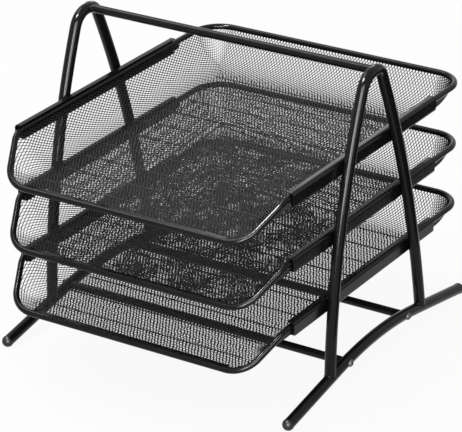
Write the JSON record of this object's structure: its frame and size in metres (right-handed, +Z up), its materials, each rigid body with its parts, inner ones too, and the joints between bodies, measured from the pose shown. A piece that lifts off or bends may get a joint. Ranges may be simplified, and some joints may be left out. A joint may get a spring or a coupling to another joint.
{
  "type": "mesh letter tray",
  "caption": "Desk stand of bowed black tubes with side rails that carry sliding wire-rimmed mesh trays for letters and paper, each with sloped sides and a low open front.",
  "frame": {"origin": "on the table, under the middle of the bounding box", "axes": "+X to the right, +Y to the back, away from the low lips of the trays, +Z up"},
  "size_m": [0.304, 0.3496, 0.2785],
  "materials": {
    "stand_paint": "gloss black paint on steel tube",
    "rail_paint": "gloss black paint on bent steel sheet",
    "rim_paint": "gloss black paint on steel wire and strip",
    "mesh_paint": "satin black paint on expanded steel mesh",
    "foot_plug": "satin black moulded plastic",
    "screw_steel": "dull plated steel"
  },
  "bodies": {
    "stand": {"left_foot": "stand_paint", "right_foot": "stand_paint", "left_front_foot_plug": "foot_plug", "left_back_foot_plug": "foot_plug", "right_front_foot_plug": "foot_plug", "right_back_foot_plug": "foot_plug", "left_front_leg": "stand_paint", "left_back_leg": "stand_paint", "right_front_leg": "stand_paint", "right_back_leg": "stand_paint", "top_crossbar": "stand_paint", "lower_front_crossbar": "stand_paint", "lower_back_crossbar": "stand_paint", "front_bar_left_insert": "screw_steel", "front_bar_right_insert": "screw_steel", "back_bar_left_insert": "screw_steel", "back_bar_right_insert": "screw_steel", "crossbar_screws": "screw_steel", "top_left_rail": "rail_paint", "top_right_rail": "rail_paint", "middle_left_rail": "rail_paint", "middle_right_rail": "rail_paint", "bottom_left_rail": "rail_paint", "bottom_right_rail": "rail_paint"},
    "top_tray": {"top_rim": "rim_paint", "top_left_runner": "rim_paint", "top_right_runner": "rim_paint", "top_lip_binding": "rim_paint", "top_basket": "mesh_paint"},
    "middle_tray": {"middle_rim": "rim_paint", "middle_left_runner": "rim_paint", "middle_right_runner": "rim_paint", "middle_lip_binding": "rim_paint", "middle_basket": "mesh_paint"},
    "bottom_tray": {"bottom_rim": "rim_paint", "bottom_left_runner": "rim_paint", "bottom_right_runner": "rim_paint", "bottom_lip_binding": "rim_paint", "bottom_basket": "mesh_paint"}
  },
  "joints": [
    {"name": "top_tray_slide", "type": "slide", "parent": "stand", "child": "top_tray", "axis": [0, -1, 0], "range_m": [0, 0.2]},
    {"name": "middle_tray_slide", "type": "slide", "parent": "stand", "child": "middle_tray", "axis": [0, -1, 0], "range_m": [0, 0.2]},
    {"name": "bottom_tray_slide", "type": "slide", "parent": "stand", "child": "bottom_tray", "axis": [0, -1, 0], "range_m": [0, 0.2]}
  ]
}
